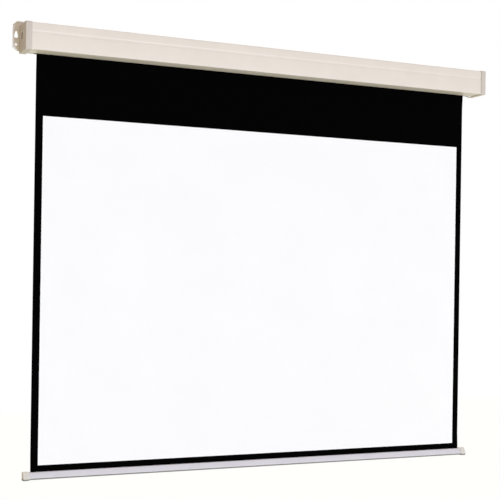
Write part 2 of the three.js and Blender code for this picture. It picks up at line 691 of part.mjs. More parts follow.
addPiece('case_shell', caseShell(), CREAM_PAINT);
addPiece('left_bracket', leftBracket(), BRACKET_STEEL);
addPiece('right_bracket', rightBracket(), BRACKET_STEEL);
PORTS.forEach((port, i) => {
  addPiece(`left_bracket_screw_${i + 1}`, bracketScrew(-1, port), STEEL);
  addPiece(`right_bracket_screw_${i + 1}`, bracketScrew(1, port), STEEL);
});
addPiece('left_end_cap', endCap(-1), CAP_PLASTIC);
addPiece('right_end_cap', endCap(1), CAP_PLASTIC);
addPiece('screen_cloth', screenCloth(), BLACK_CLOTH);
addPiece('picture_face', pictureFace(), WHITE_FACE);
addPiece('spring_spindle', springSpindle(), STEEL);
addPiece('torsion_spring', torsionSpring(), STEEL);
addPiece('spring_anchor', springAnchor(), STEEL);
addPiece('spindle_guide', spindleGuide(), NYLON);
addPiece('ratchet_wheel', ratchetWheel(), STEEL);
addPiece('pivot_bush', pivotBush(), NYLON);
addPiece('roller_tube', rollerTube(), ALUMINIUM);
addPiece('cloth_turns', clothTurns(), BLACK_CLOTH);
addPiece('ratchet_plug', ratchetPlug(), NYLON);
addPiece('ratchet_cover', ratchetCover(), STEEL);
addPiece('pawl_pin_a', pawlPin(0), STEEL);
addPiece('pawl_pin_b', pawlPin(1), STEEL);
addPiece('idler_plug', idlerPlug(), NYLON);
addPiece('pivot_pin', pivotPin(), STEEL);
addPiece('pawl_a', pawl(0), STEEL);
addPiece('pawl_b', pawl(1), STEEL);
addPiece('bottom_bar', bottomBar(), WHITE_PAINT);
addPiece('cloth_hem', clothHem(), BLACK_CLOTH);
addPiece('hem_rod', hemRod(), STEEL);
addPiece('left_bar_cap', barCap(-1), WARM_PLASTIC);
addPiece('right_bar_cap', barCap(1), WARM_PLASTIC);

export default screen;
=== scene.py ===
"""Pull-down projection screen: its finished pieces, stage and camera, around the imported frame.

Run as a script in Blender 4.5. The world is in metres, and MM turns a size in millimetres into it.
"""

import math
from functools import partial

import bmesh
import bpy
from bpy.props import FloatProperty, FloatVectorProperty, IntProperty, PointerProperty
from bpy.types import Operator, Panel, PropertyGroup
from mathutils import Matrix, Vector


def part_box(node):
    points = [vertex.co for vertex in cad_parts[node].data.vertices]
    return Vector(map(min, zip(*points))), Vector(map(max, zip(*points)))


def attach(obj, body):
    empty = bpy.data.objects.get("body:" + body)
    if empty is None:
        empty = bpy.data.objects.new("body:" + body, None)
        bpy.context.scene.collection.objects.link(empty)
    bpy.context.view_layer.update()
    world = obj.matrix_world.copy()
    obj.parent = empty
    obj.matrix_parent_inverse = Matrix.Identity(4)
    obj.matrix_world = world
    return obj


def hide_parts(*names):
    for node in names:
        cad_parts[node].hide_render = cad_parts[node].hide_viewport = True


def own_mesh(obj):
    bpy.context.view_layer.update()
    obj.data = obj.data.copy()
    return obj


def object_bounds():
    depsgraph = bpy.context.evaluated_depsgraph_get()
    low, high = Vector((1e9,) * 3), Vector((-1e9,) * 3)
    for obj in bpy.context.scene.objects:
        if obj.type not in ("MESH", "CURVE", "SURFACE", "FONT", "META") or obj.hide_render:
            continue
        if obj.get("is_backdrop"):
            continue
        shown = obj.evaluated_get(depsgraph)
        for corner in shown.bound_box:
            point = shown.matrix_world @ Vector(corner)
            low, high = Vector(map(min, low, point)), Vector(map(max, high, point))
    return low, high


bl_info = {
    "name": "Projection Screen",
    "version": (1, 0, 0),
    "blender": (4, 5, 0),
    "location": "View3D > Sidebar > Screen",
    "description": "Builds the finished pieces of a wall-hung pull-down projection screen",
    "category": "Object",
}

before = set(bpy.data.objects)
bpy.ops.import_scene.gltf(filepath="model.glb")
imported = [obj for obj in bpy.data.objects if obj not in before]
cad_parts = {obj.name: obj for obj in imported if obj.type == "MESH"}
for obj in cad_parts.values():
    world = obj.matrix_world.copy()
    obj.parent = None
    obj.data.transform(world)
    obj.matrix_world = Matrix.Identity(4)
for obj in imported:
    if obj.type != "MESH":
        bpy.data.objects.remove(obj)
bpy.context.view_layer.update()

MM = 0.001
ARC_STEPS = 8
ROUND_SIDES = 72
SHARP_EDGE = math.radians(30)
FLAT_FACE = math.radians(0.5)
OVERRUN = 2 * MM
MERGE = 0.001 * MM
SMALL_SIDES = 24
PEG_SIDES = 32
CHANNEL_SIDES = 40
COIL_STEPS = 14
WIRE_SIDES = 6
CLEAR_PATCHES = {"From Min": 0.35, "From Max": 0.65}
# Roughness of the painted shade under the bar, so that it catches no glint
FOOT_ROUGHNESS = 0.95
SENSOR_WIDTH = 36
KEY_FROM, KEY_BREADTH = (0.264, -0.922, -0.284), math.radians(20)
BACK_FROM, BACK_BREADTH = (0.1, 0.33, 0.94), math.radians(30)
FLOOR_GLOW = 1.04
FLOOR_MATT_SHARE = 0.1
SOCKET_KINDS = {
    float: "NodeSocketFloat", int: "NodeSocketInt", tuple: "NodeSocketVector",
    bpy.types.Object: "NodeSocketObject",
}


def linear(colour):
    """A colour written as sRGB hex, as linear red, green, blue and alpha."""
    shares = [int(colour[i:i + 2], 16) / 255 for i in (1, 3, 5)]
    return [c / 12.92 if c <= 0.04045 else ((c + 0.055) / 1.055) ** 2.4 for c in shares] + [1.0]


WHITE = linear("#FFFFFF")


def length(name, description, millimetres):
    """A property that holds a length, with its default in millimetres."""
    return FloatProperty(name=name, description=description, default=millimetres * MM, unit="LENGTH",
                         precision=4)


def paint(name, description, colour):
    """A property that holds a colour, with its default as sRGB hex."""
    return FloatVectorProperty(name=name, description=description, default=linear(colour), size=4,
                               subtype="COLOR", min=0, max=1)


class CaseShape(PropertyGroup):
    """Sizes of the case and of the caps on its ends"""
    wall: length("Wall", "Thickness of the case's wall", 1.5)
    top_radius: length("Top radius", "Rounding of the front edge at the top", 4)
    low_radius: length("Low radius", "Rounding of the front edge at the bottom", 1)
    rear_radius: length("Rear radius", "Rounding of the edges at the wall", 1)
    slot: length("Slot", "Width of the slot that the cloth leaves by", 27)
    lip_rise: length("Lip rise", "Height of the lip in front of the slot", 6)
    rear_rise: length("Rear rise", "How far the rear wall stops above the bottom", 2)
    groove_drop: length("Groove drop", "Drop of the front groove's middle below the top", 29.7)
    groove_floor: length("Groove floor", "Height of the groove's flat floor", 4.9)
    groove_flank: length("Groove flank", "Height of each flank of the groove", 2.5)
    groove_depth: length("Groove depth", "Depth of the groove", 0.45)
    port_radius: length("Port radius", "Outer radius of a screw port", 4.1)
    port_bore: length("Port bore", "Bore radius of a screw port", 1.9)
    port_inset: length("Port inset", "Distance of a port's axis from the walls", 4.6)
    port_web: length("Port web", "Thickness of the webs that hold a port", 2.2)
    cap_gap: length("Cap gap", "Clearance of an end cap over the case", 0.3)
    cap_wall: length("Cap wall", "Thickness of an end cap round the case", 1.5)
    cap_side: length("Cap side", "Thickness of an end cap's side", 2)
    cap_rounding: length("Cap rounding", "Rounding of an end cap's outer edge", 2.5)
    window_radius: length("Window radius", "Radius of the round window in a cap's side", 10.5)
    peg_radius: length("Peg radius", "Radius of the pegs inside a cap", 3)
    peg_inset: length("Peg inset", "Distance of a peg's axis from the case's top or bottom", 14)


class BracketShape(PropertyGroup):
    """Sizes of the screws and of the edges on the wall brackets"""
    edge: length("Edge", "Rounding of a bracket's stamped edges", 0.35)
    head_radius: length("Head radius", "Radius of a screw's head", 3.6)
    head_height: length("Head height", "Height of a screw's head", 2.4)
    shank_radius: length("Shank radius", "Radius of a screw's shank", 1.6)
    recess_width: length("Recess width", "Width of the cross recess's arms", 0.9)
    recess_reach: length("Recess reach", "Length of the cross recess's arms from the middle", 1.9)
    recess_depth: length("Recess depth", "Depth of the cross recess", 1.4)


class ClothShape(PropertyGroup):
    """How the cloth hangs"""
    thickness: length("Thickness", "Thickness of the coated cloth", 0.3)
    face_thickness: length("Face thickness", "Thickness of the white picture face", 0.15)
    curl_depth: length("Curl depth", "How far the cloth's side edges curl back", 1.5)
    curl_width: length("Curl width", "Width of the curl along each side edge", 26)
    flat_end: length("Flat end", "Distance from the slot and the bar over which the edges lie flat", 60)
    ripple: length("Ripple", "Depth of the soft waves across the cloth", 0.5)
    wave: length("Wave", "Distance from one soft wave to the next", 410)
    across: IntProperty(name="Across", description="Steps across the cloth", default=120, min=8, max=400)
    down: IntProperty(name="Down", description="Steps down the cloth", default=72, min=8, max=400)
    turns: FloatProperty(name="Turns", description="Turns left on the roller", default=1.75, min=0.5,
                         max=12)


class RollerShape(PropertyGroup):
    """Sizes of the roller's wound and turned pieces"""
    tube_wall: length("Tube wall", "Thickness of the roller tube", 1.2)
    edge: length("Edge", "Rounding of the edges inside the roller", 0.3)
    wire: length("Wire", "Thickness of the spring wire", 2.2)
    coil_gap: length("Coil gap", "Gap between the spring's coils", 0.05)


class BarShape(PropertyGroup):
    """Sizes of the bottom bar and its caps"""
    back_to_cloth: length("Back to cloth", "Distance from the cloth to the bar's back", 6.4)
    top_depth: length("Top depth", "Depth of the bar at its top", 13)
    low_depth: length("Low depth", "Depth of the bar at its bottom", 26)
    top_radius: length("Top radius", "Rounding of the bar's top edges", 1.5)
    edge_radius: length("Edge radius", "Rounding of the edges beside the notch", 0.8)
    notch_rise: length("Notch rise", "Height of the notch under the bar's front", 4.8)
    notch_depth: length("Notch depth", "Depth of the notch under the bar's front", 3)
    back_radius: length("Back radius", "Rounding of the bar's lower rear edge", 2)
    wall: length("Wall", "Thickness of the bar's walls", 1.6)
    channel_radius: length("Channel radius", "Radius of the channel that holds the hem", 3.25)
    neck: length("Neck", "Width of the neck that the hem enters by", 1.5)
    hem_depth: length("Hem depth", "Depth of the hem rod below the bar's top", 6.5)
    hollow_drop: length("Hollow drop", "Depth of the hollow below the bar's top", 12.4)
    cap_gap: length("Cap gap", "Clearance of a cap over the bar", 0.3)
    cap_wall: length("Cap wall", "Thickness of a bar cap", 1.2)
    cap_end: length("Cap end", "Thickness of a bar cap's end", 2)
    cap_foot: length("Cap foot", "How much lower than the bar a cap's foot reaches", 0.6)
    cap_taper: length("Cap taper", "Length over which the foot comes up to the bar", 12)
    cap_rounding: length("Cap rounding", "Rounding of a bar cap's outer edge", 0.6)


class FinishColours(PropertyGroup):
    """Colours of the finishes"""
    case: paint("Case enamel", "Enamel on the case", "#E4DBD0")
    # Painted light: drawn lighter than the case's enamel to lift the shade that the case casts on the
    # brackets
    bracket: paint("Bracket enamel", "Enamel on the wall brackets", "#F6F3F0")
    cap: paint("Cap plastic", "Plastic of the case's end caps", "#CEC5BB")
    cloth: paint("Black cloth", "Coated cloth", "#030303")
    face: paint("Picture face", "Matt white coating of the picture", "#FBFBFC")
    bar: paint("Bar enamel", "Powder coat on the bottom bar", "#E3E2EA")
    bar_cap: paint("Bar cap plastic", "Plastic of the bar's caps", "#E5E2DB")
    # Painted shade: this grey stands in for the shade in the notch under the bar's front and on the lower
    # edge of the bar's caps
    notch: paint("Notch", "Grey of the notch under the bar's front", "#868480")
    zinc: paint("Zinc plate", "Yellow zinc plating on steel", "#BFA878")
    wire: paint("Spring wire", "Oiled spring wire", "#56575A")
    aluminium: paint("Aluminium", "Plain drawn aluminium", "#CBCDCF")
    nylon: paint("Nylon", "Black moulded nylon", "#1B1C1E")
    floor: paint("Floor", "Pale floor", "#F4FAD4")
    surround: paint("Surround", "Light that comes from all sides", "#B4A195")
    key: paint("Key light", "Light of the key lamp", "#D9E8FF")


class StageSettings(PropertyGroup):
    """Camera, lamps and floor"""
    camera_place: FloatVectorProperty(name="Camera place", description="Where the camera stands", size=3,
                                      default=(-1.6489, -3.5084, -0.7436), subtype="TRANSLATION",
                                      unit="LENGTH")
    camera_yaw: FloatProperty(name="Camera yaw", description="How far the camera turns to the right",
                              default=math.radians(24.538), subtype="ANGLE")
    camera_roll: FloatProperty(name="Camera roll", description="How far the camera leans",
                               default=math.radians(0.872), subtype="ANGLE")
    focal_length: FloatProperty(name="Focal length", description="Focal length on a 36 mm sensor",
                                default=81.38, unit="CAMERA")
    shift_up: FloatProperty(name="Shift up", description="Upward lens shift, as a share of the image",
                            default=0.064)
    key_power: FloatProperty(name="Key power", description="Strength of the soft key lamp", default=2.35,
                             min=0)
    back_power: FloatProperty(name="Back power", description="Strength of the lamp behind", default=1.0,
                              min=0)
    floor_drop: length("Floor drop", "Distance from the bar down to the floor", 750)
    floor_size: length("Floor size", "Width and depth of the floor", 16000)


class ScreenSettings(PropertyGroup):
    """All sizes and colours of the projection screen"""
    case: PointerProperty(type=CaseShape, name="Case", description="Case and end caps")
    bracket: PointerProperty(type=BracketShape, name="Brackets", description="Wall brackets and screws")
    cloth: PointerProperty(type=ClothShape, name="Cloth", description="Hanging cloth")
    roller: PointerProperty(type=RollerShape, name="Roller", description="Roller and spring")
    bar: PointerProperty(type=BarShape, name="Bottom bar", description="Bottom bar and caps")
    colours: PointerProperty(type=FinishColours, name="Colours", description="Colours of the finishes")
    stage: PointerProperty(type=StageSettings, name="Stage", description="Camera, lamps and floor")


# Outlines and meshes

def set_up(thing, **settings):
    """Sets several values of a thing at once."""
    for key, value in settings.items():
        setattr(thing, key, value)
    return thing


def outline(corners, steps=ARC_STEPS):
    """A closed outline through corners (u, v, radius), each rounded by a true arc."""
    points = []
    for i, (u, v, radius) in enumerate(corners):
        corner = Vector((u, v))
        before = (Vector(corners[i - 1][:2]) - corner).normalized()
        after = (Vector(corners[(i + 1) % len(corners)][:2]) - corner).normalized()
        half = before.angle(after) / 2
        if radius <= 0 or half > math.pi / 2 - FLAT_FACE:
            points.append(corner)
            continue
        centre = corner + (before + after).normalized() * radius / math.sin(half)
        start = corner + before * radius / math.tan(half) - centre
        end = corner + after * radius / math.tan(half) - centre
        turn = math.copysign(math.pi - 2 * half, start.cross(end))
        points += [centre + Matrix.Rotation(turn * k / steps, 2) @ start for k in range(steps + 1)]
    return points


def circle(u, v, radius, sides=ROUND_SIDES):
    """A round outline about (u, v)."""
    angles = [2 * math.pi * k / sides for k in range(sides)]
    return [(u + radius * math.cos(a), v + radius * math.sin(a)) for a in angles]


def middle(node):
    """The middle of a CAD node's box, as x, y and z."""
    return [(low + high) / 2 for low, high in zip(*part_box(node))]


def placed(name, data):
    """A new object in the scene."""
    made = bpy.data.objects.new(name, data)
    bpy.context.scene.collection.objects.link(made)
    return made


def new_object(name, made):
    """An object from a bmesh, with its faces pointing outwards and smooth."""
    bmesh.ops.recalc_face_normals(made, faces=made.faces)
    mesh = bpy.data.meshes.new(name)
    made.to_mesh(mesh)
    made.free()
    mesh.shade_smooth()
    return placed(name, mesh)


def skin(made, near, far):
    """Joins two rings of vertices by faces, without those that shrink to an edge."""
    for k in range(len(near)):
        corners = list(dict.fromkeys((near[k - 1], near[k], far[k], far[k - 1])))
        if len(corners) > 2:
            made.faces.new(corners)


def loft(name, rings):
    """A closed body through rings of points, with flat ends."""
    made = bmesh.new()
    rows = [[made.verts.new(point) for point in ring] for ring in rings]
    for near, far in zip(rows, rows[1:]):
        skin(made, near, far)
    made.faces.new(rows[0])
    made.faces.new(rows[-1])
    return new_object(name, made)


def prism(name, loops, span):
    """A closed prism along X. The first loop is its outline in YZ, and the others are holes."""
    made = bmesh.new()
    ends = []
    for x in span:
        rows = [[made.verts.new((x, *point)) for point in loop] for loop in loops]
        edges = [made.edges.new((row[k - 1], row[k])) for row in rows for k in range(len(row))]
        bmesh.ops.triangle_fill(made, use_beauty=True, edges=edges)
        ends.append(rows)
    for near, far in zip(*ends):
        skin(made, near, far)
    bmesh.ops.dissolve_limit(made, angle_limit=FLAT_FACE, verts=made.verts, edges=made.edges)
    return new_object(name, made)


def lathe(name, profile, axis, sides=ROUND_SIDES):
    """A body turned about a line along X through axis (y, z). The closed profile's points are (x, radius)."""
    made = bmesh.new()
    rows = []
    for x, radius in profile:
        if radius > 0:
            rows.append([made.verts.new((x, u, v)) for u, v in circle(*axis, radius, sides)])
        else:
            rows.append([made.verts.new((x, *axis))] * sides)
    for near, far in zip(rows, rows[1:] + rows[:1]):
        skin(made, near, far)
    return new_object(name, made)


def applied(built):
    """Turns an object's modifiers into its own plain mesh."""
    old = built.data
    graph = bpy.context.evaluated_depsgraph_get()
    graph.update()
    mesh = bpy.data.meshes.new_from_object(built.evaluated_get(graph))
    built.modifiers.clear()
    built.data = mesh
    mesh.name = built.name
    bpy.data.meshes.remove(old)
    return built


def thickened(built, thickness):
    """Gives a sheet its thickness on both sides, with crisp edges."""
    set_up(built.modifiers.new("Thickness", "SOLIDIFY"), thickness=thickness, offset=0)
    applied(built).data.set_sharp_from_angle(angle=SHARP_EDGE)
    return built


def combine(base, operation, *others):
    """Joins other objects to the base, or cuts them from it, and removes them."""
    for other in others:
        set_up(base.modifiers.new(operation, "BOOLEAN"), operation=operation, solver="EXACT", object=other)
    applied(base)
    for other in others:
        bpy.data.meshes.remove(other.data)
    return base


def soften(built, width):
    """Rounds the sharp edges with a bevel that keeps the flat faces flat."""
    set_up(built.modifiers.new("Edges", "BEVEL"), width=width, segments=2, limit_method="ANGLE",
           angle_limit=SHARP_EDGE, harden_normals=True)
    return built


def copied(node, name):
    """A new object with the shape of a CAD node, its triangles merged into whole faces."""
    made = bmesh.new()
    made.from_mesh(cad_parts[node].data)
    bmesh.ops.remove_doubles(made, verts=made.verts, dist=MERGE)
    bmesh.ops.dissolve_limit(made, angle_limit=FLAT_FACE, verts=made.verts, edges=made.edges)
    return new_object(name, made)


def rounded_end(outer, side, radius):
    """Stations (x, inset) that round the edge of a piece's outer face."""
    angles = [math.pi / 2 * k / ARC_STEPS for k in range(ARC_STEPS + 1)]
    return [(outer - side * radius * (1 - math.sin(a)), radius * (1 - math.cos(a))) for a in angles]


def settle(built, body, slot, *nodes):
    """Gives a finished piece the material of its slot and its body, and hides the CAD nodes that it stands
    for.
    """
    built.data.materials.clear()
    built.data.materials.append(finishes[slot])
    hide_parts(*nodes)
    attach(built, body)


def carry_over(edge, rows):
    """Finished copies of CAD nodes with their edges rounded, from rows of node, name, slot and body."""
    for node, name, slot, body in rows:
        settle(soften(copied(node, name), edge), body, slot, node)


# Nodes

def add_node(tree, kind, inputs=None, **settings):
    """Adds a node, sets its options and fills its inputs. A node given as a value links its first output."""
    made = set_up(tree.nodes.new(kind), **settings)
    for key, value in (inputs or {}).items():
        if isinstance(value, bpy.types.Node):
            value = value.outputs[0]
        if isinstance(value, bpy.types.NodeSocket):
            tree.links.new(value, made.inputs[key])
        else:
            made.inputs[key].default_value = value
    return made


def maths(add, operation, *values):
    """Adds a maths node that works on the values. Here and below, add is add_node for one tree."""
    return add("ShaderNodeMath", dict(enumerate(values)), operation=operation)


def grown(name, inputs, shape, slot):
    """A plain mesh object from a geometry tree, smooth and in one finish.

    The tree has a named input for each value, and shape adds the nodes that turn them into geometry.
    """
    tree = bpy.data.node_groups.new(name, "GeometryNodeTree")
    keys = {}
    for label, value in inputs.items():
        kind = SOCKET_KINDS[type(value)]
        keys[label] = tree.interface.new_socket(label, in_out="INPUT", socket_type=kind).identifier
    tree.interface.new_socket("Geometry", in_out="OUTPUT", socket_type="NodeSocketGeometry")
    add = partial(add_node, tree)
    shaped = shape(add, add("NodeGroupInput").outputs)
    real = add("GeometryNodeRealizeInstances", {"Geometry": shaped})
    smooth = add("GeometryNodeSetShadeSmooth", {"Geometry": real})
    dressed = add("GeometryNodeSetMaterial", {"Geometry": smooth, "Material": finishes[slot]})
    add("NodeGroupOutput", {"Geometry": dressed})
    built = placed(name, bpy.data.meshes.new(name))
    modifier = built.modifiers.new(name, "NODES")
    modifier.node_group = tree
    for label, value in inputs.items():
        modifier[keys[label]] = value
    applied(built)
    bpy.data.node_groups.remove(tree)
    return built


# Finishes

def new_material(name, uv_map=None):
    """A bare material, its add-node function, and coordinates: the object's own or those of a UV map."""
    material = bpy.data.materials.new(name)
    material.use_nodes = True
    material.node_tree.nodes.clear()
    add = partial(add_node, material.node_tree)
    if uv_map:
        return material, add, add("ShaderNodeUVMap", uv_map=uv_map).outputs[0]
    return material, add, add("ShaderNodeTexCoord").outputs["Object"]


def close_material(material, shader):
    """Links a shader to the material's output."""
    add_node(material.node_tree, "ShaderNodeOutputMaterial", {"Surface": shader})
    return material


def patches(add, coordinates, size, detail, start, end, **span):
    """A value that drifts from start to end in soft patches of a given size."""
    noise = add("ShaderNodeTexNoise", {"Vector": coordinates, "Scale": 1 / size, "Detail": detail})
    return add("ShaderNodeMapRange", {"Value": noise, "To Min": start, "To Max": end} | span)


def mottled(add, coordinates, colour, other_share, size):
    """A colour that drifts slightly darker in soft patches of a given size."""
    share = patches(add, coordinates, size, 3.0, 0.0, 1.0, **CLEAR_PATCHES)
    darker = [c * other_share for c in colour[:3]] + [1.0]
    return add("ShaderNodeMix", {0: share, 6: colour, 7: darker}, data_type="RGBA").outputs[2]


def grain(add, coordinates, size, depth, stretch=(1, 1, 1)):
    """A fine bump of a given grain size and depth."""
    place = add("ShaderNodeMapping", {"Vector": coordinates, "Scale": stretch})
    noise = add("ShaderNodeTexNoise", {"Vector": place, "Scale": 1 / size, "Detail": 2.0})
    return add("ShaderNodeBump", {"Height": noise, "Strength": 1.0, "Distance": depth})


def painted_shade_below(add, coordinates, colour, roughness, foot):
    """A colour and roughness that turn below a level to a dull grey of painted shade, standing in for the
    shade in the notch under the bar. The foot is (level, colour).
    """
    if not foot:
        return colour, roughness
    height = add("ShaderNodeSeparateXYZ", {0: coordinates}).outputs[2]
    share = maths(add, "LESS_THAN", height, foot[0])
    mix = add("ShaderNodeMix", {0: share, 6: colour, 7: foot[1]}, data_type="RGBA")
    return mix.outputs[2], add("ShaderNodeMix", {0: share, 2: roughness, 3: FOOT_ROUGHNESS})


def painted(name, colour, roughness, peel, depth, foot=None):
    """Enamel or powder coat: an even colour with soft orange peel, and a little wax-like gloss. A foot turns
    it below a level to a grey of painted shade.
    """
    material, add, place = new_material(name)
    coat, rough = painted_shade_below(add, place, mottled(add, place, colour, 0.97, 60 * MM), roughness, foot)
    return close_material(material, add("ShaderNodeBsdfPrincipled", {
        "Base Color": coat, "Roughness": rough, "IOR": 1.5, "Normal": grain(add, place, peel, depth),
    }))


def moulded(name, colour, roughness, texture, depth, gloss, foot=None):
    """Moulded plastic: fine spark-eroded texture, which scatters its gloss. A foot turns it below a level to
    a grey of painted shade.
    """
    material, add, place = new_material(name)
    uneven = patches(add, place, 25 * MM, 2.0, roughness - 0.05, roughness + 0.05)
    body, rough = painted_shade_below(add, place, mottled(add, place, colour, 0.96, 30 * MM), uneven, foot)
    return close_material(material, add("ShaderNodeBsdfPrincipled", {
        "Base Color": body, "Roughness": rough, "IOR": 1.46, "Specular IOR Level": gloss,
        "Normal": grain(add, place, texture, depth),
    }))


def bare_metal(name, colour, roughness, stretch, grain_size, depth):
    """Bare or plated metal: drawn or tumbled grain, and patches that are a little duller."""
    material, add, place = new_material(name)
    return close_material(material, add("ShaderNodeBsdfPrincipled", {
        "Base Color": mottled(add, place, colour, 0.9, 9 * MM), "Metallic": 1.0,
        "Roughness": patches(add, place, 12 * MM, 4.0, roughness - 0.08, roughness + 0.12),
        "Normal": grain(add, place, grain_size, depth, stretch),
    }))


def woven(name, colour, roughness, gloss, thread, depth):
    """Coated glass-fibre cloth: the crossing threads show through the coating as a fine plain weave."""
    material, add, place = new_material(name, "UVMap")
    bands = [add("ShaderNodeTexWave", {
        "Vector": place, "Scale": 1 / thread / math.tau, "Distortion": 0.4, "Detail": 1.0,
    }, bands_direction=direction).outputs[1] for direction in ("X", "Y")]
    bump = add("ShaderNodeBump", {
        "Height": maths(add, "ADD", *bands), "Strength": 0.6, "Distance": depth,
    })
    return close_material(material, add("ShaderNodeBsdfPrincipled", {
        "Base Color": mottled(add, place, colour, 0.985, 180 * MM), "Roughness": roughness, "IOR": 1.45,
        "Specular IOR Level": gloss, "Normal": bump,
    }))


def make_finishes(colours, bar):
    """All the finishes of the screen, by the names of the record's material slots."""
    # Levels below which the bar and its caps turn to the grey of painted shade
    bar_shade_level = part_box("bottom_bar")[0].z + bar.notch_rise - OVERRUN / 10
    cap_foot = bar_shade_level - bar.cap_gap - bar.cap_wall
    fine_texture, tumbled = (0.9 * MM, 0.02 * MM, 0.4), ((1, 1, 1), 0.8 * MM, 0.01 * MM)
    return {
        # Baked enamel on drawn metal: satin, with orange peel about 2.5 mm across
        "cream_enamel": painted("case_enamel", colours.case, 0.42, 2.5 * MM, 0.012 * MM),
        # The same enamel on stamped steel, a little duller, drawn lighter than the case's as painted light
        # for the shade that the case casts on the brackets
        "bracket_enamel": painted("bracket_enamel", colours.bracket, 0.5, 2.5 * MM, 0.012 * MM),
        # Moulded ABS with a fine matt texture, drawn at 0.9 mm so that it shows
        "grey_plastic": moulded("cap_abs", colours.cap, 0.5, *fine_texture),
        # Moulded ABS of the bar's caps, warmer in colour, with the same grey of painted shade on the foot as
        # the bar
        "warm_plastic": moulded("bar_cap_abs", colours.bar_cap, 0.48, *fine_texture,
                                (cap_foot, colours.notch)),
        # Powder coat on drawn aluminium: cool white, glossier than the case, and a grey of painted shade from
        # the notch down
        "white_enamel": painted("bar_powder_coat", colours.bar, 0.26, 2 * MM, 0.01 * MM,
                                (bar_shade_level, colours.notch)),
        "zinc_steel": bare_metal("zinc_plate", colours.zinc, 0.32, *tumbled),
        "spring_steel": bare_metal("oiled_spring_wire", colours.wire, 0.3, *tumbled),
        # Drawn aluminium, with fine lines along the tube
        "plain_aluminium": bare_metal("drawn_aluminium", colours.aluminium, 0.34, (0.03, 1, 1), 0.6 * MM,
                                      0.01 * MM),
        # Moulded nylon, nearly black, with a slight sheen
        "black_nylon": moulded("moulded_nylon", colours.nylon, 0.45, 0.8 * MM, 0.015 * MM, 0.5),
        # Black coated glass-fibre cloth, threads drawn at 1.2 mm so that they show near to
        "black_cloth": woven("black_coated_cloth", colours.cloth, 0.85, 0.01, 1.2 * MM, 0.02 * MM),
        # Matt white coating, which nearly hides the threads
        "white_face": woven("matt_white_coating", colours.face, 0.9, 0.1, 1.2 * MM, 0.008 * MM),
    }


finishes = {}


# Pieces

def case_outline(case, grow, rear):
    """The case's outer outline in YZ, grown by a distance, up to a rear face."""
    low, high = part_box("case_shell")
    return outline([
        (rear, high.z + grow, case.rear_radius),
        (low.y - grow, high.z + grow, case.top_radius + grow),
        (low.y - grow, low.z - grow, case.low_radius + grow),
        (rear, low.z - grow, case.rear_radius),
    ])


def screw_port(case, y, z, span):
    """A round port with one web to the front or rear wall and one to the top or bottom."""
    reach, half = case.port_inset + case.wall / 2, case.port_web / 2
    points = [(reach, -half), (reach, half), (half, half), (half, reach), (-half, reach)]
    start = math.asin(half / case.port_radius)
    steps = 3 * ARC_STEPS
    for k in range(steps + 1):
        angle = math.pi / 2 + start + (1.5 * math.pi - 2 * start) * k / steps
        points.append((case.port_radius * math.cos(angle), case.port_radius * math.sin(angle)))
    _, middle_y, middle_z = middle("case_shell")
    outward, upward = math.copysign(1, y - middle_y), math.copysign(1, z - middle_z)
    return prism("port", [[(y + outward * u, z + upward * v) for u, v in points]], span)


class SCREEN_OT_case(Operator):
    """Builds the case: one drawn profile with a slot, a shallow groove and three screw ports"""
    bl_idname = "screen_build.case"
    bl_label = "Case"

    def execute(self, context):
        case = context.scene.projection_screen.case
        low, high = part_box("case_shell")
        wall = case.wall
        edge = wall / 3
        groove, floor, depth = high.z - case.groove_drop, case.groove_floor / 2, case.groove_depth
        mouth = floor + case.groove_flank
        flanks = ((mouth, 0), (floor, depth), (-floor, depth), (-mouth, 0))
        lip, lip_top = -case.slot, low.z + case.lip_rise
        corners = [
            (high.y, low.z + case.rear_rise, edge), (high.y, high.z, case.rear_radius),
            (low.y, high.z, case.top_radius),
            *[(low.y + inward, groove + reach, case.groove_flank) for reach, inward in flanks],
            (low.y, low.z, case.low_radius),
            (lip, low.z, edge), (lip, lip_top, edge),
            (lip - wall, lip_top, edge), (lip - wall, low.z + wall, edge),
            (low.y + wall, low.z + wall, case.low_radius - wall),
            (low.y + wall, high.z - wall, case.top_radius - wall),
            (high.y - wall, high.z - wall, edge),
            (high.y - wall, low.z + case.rear_rise, edge),
        ]
        built = prism("case_profile", [outline(corners)], (low.x, high.x))
        inset = wall + case.port_inset
        front, rear, top, bottom = low.y + inset, high.y - inset, high.z - inset, low.z + inset
        ports, bores = [], []
        for y, z in ((front, top), (rear, top), (front, bottom)):
            ports.append(screw_port(case, y, z, (low.x, high.x)))
            bores.append(prism("bore", [circle(y, z, case.port_bore, SMALL_SIDES)],
                               (low.x - OVERRUN, high.x + OVERRUN)))
        combine(built, "UNION", *ports)
        combine(built, "DIFFERENCE", *bores)
        settle(soften(built, wall / 6), "case", "cream_enamel", "case_shell")
        return {"FINISHED"}


